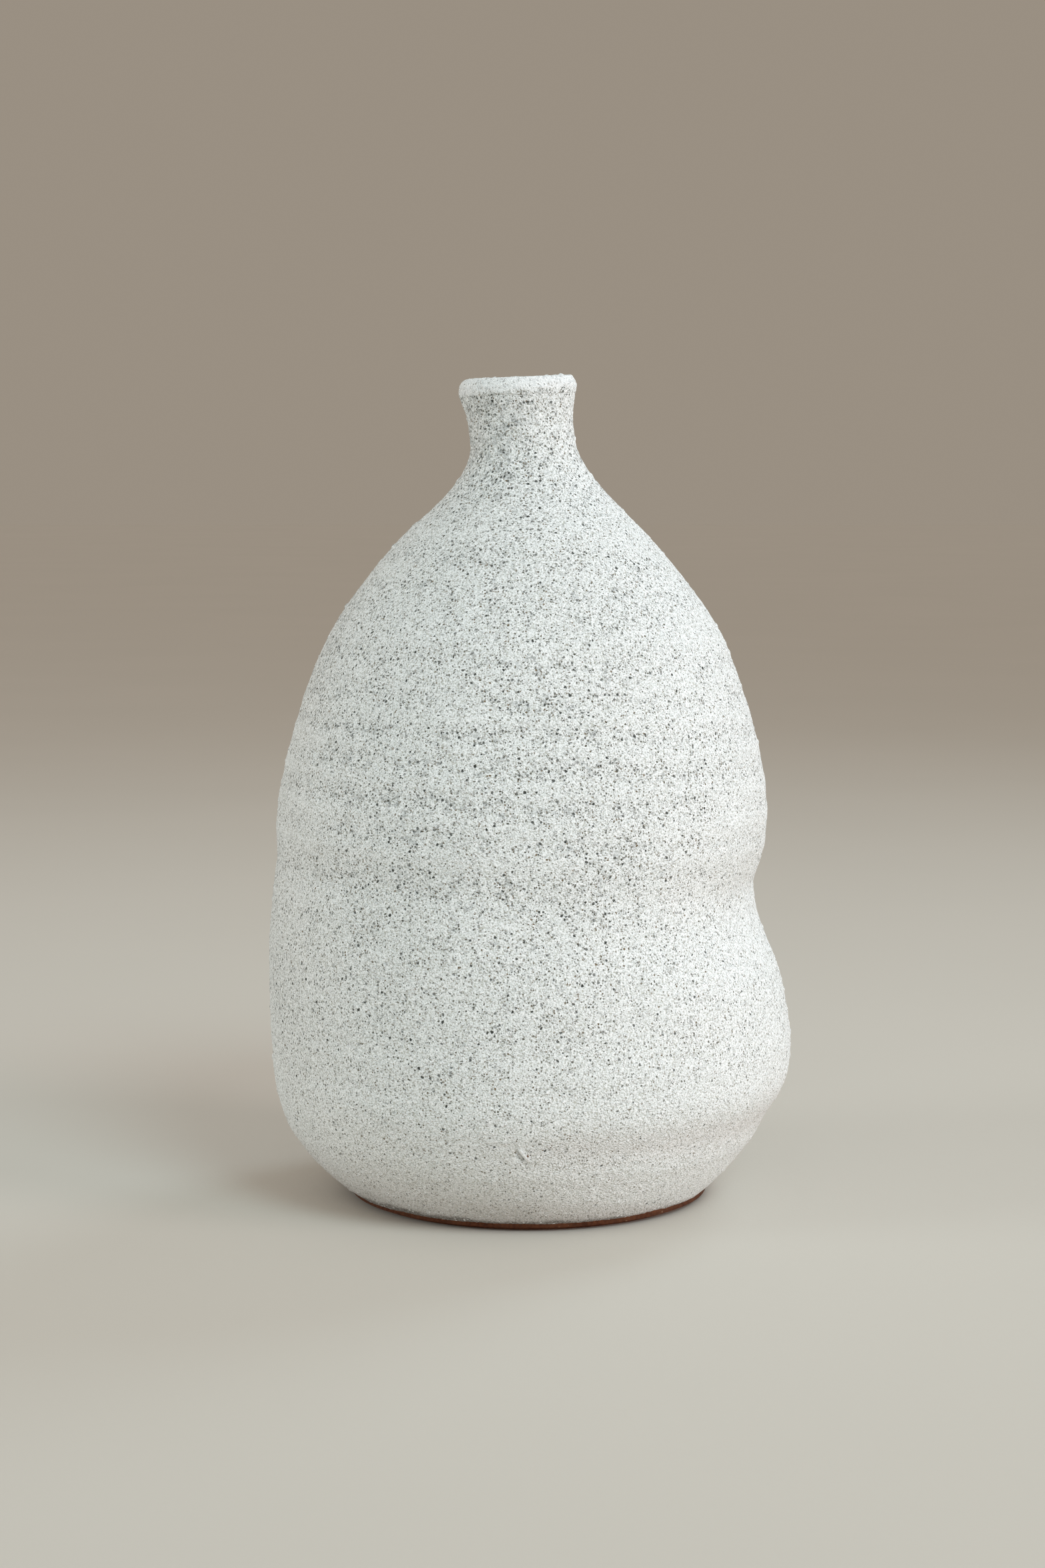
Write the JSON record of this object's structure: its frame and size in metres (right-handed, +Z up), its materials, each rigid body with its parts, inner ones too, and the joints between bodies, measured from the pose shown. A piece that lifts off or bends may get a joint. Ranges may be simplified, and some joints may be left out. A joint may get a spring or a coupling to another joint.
{
  "type": "bottle vase",
  "caption": "Lopsided two-lobed stoneware bottle vase with a narrow neck, rounded lip and rough white pitted glaze, for holding water and a few stems.",
  "frame": {"origin": "centre of the foot on the table; the lopsided body reaches half a millimetre further to +X than to -X", "axes": "+Z up; +X to the right with the waist dent on the right-hand side; -Y towards the viewer"},
  "size_m": [0.1926, 0.1918, 0.3007],
  "materials": {
    "stoneware_clay": "bare red-brown fired stoneware, matte and slightly sandy",
    "clay_slip": "fired joining slip, matte, a shade lighter than the clay",
    "pitted_white_glaze": "matte off-white glaze, rough with grey-green pits and small white nodules",
    "smooth_white_glaze": "thick satin white glaze, nearly free of specks",
    "liner_glaze": "smooth satin white liner glaze"
  },
  "bodies": {
    "root": {"foot_ring": "stoneware_clay", "base_slab": "stoneware_clay", "lower_wall": "stoneware_clay", "upper_wall": "stoneware_clay", "neck_collar": "stoneware_clay", "lip_coil": "stoneware_clay", "luting_slip": "clay_slip", "outer_glaze": "pitted_white_glaze", "rim_glaze": "smooth_white_glaze", "liner_glaze": "liner_glaze"}
  },
  "joints": []
}
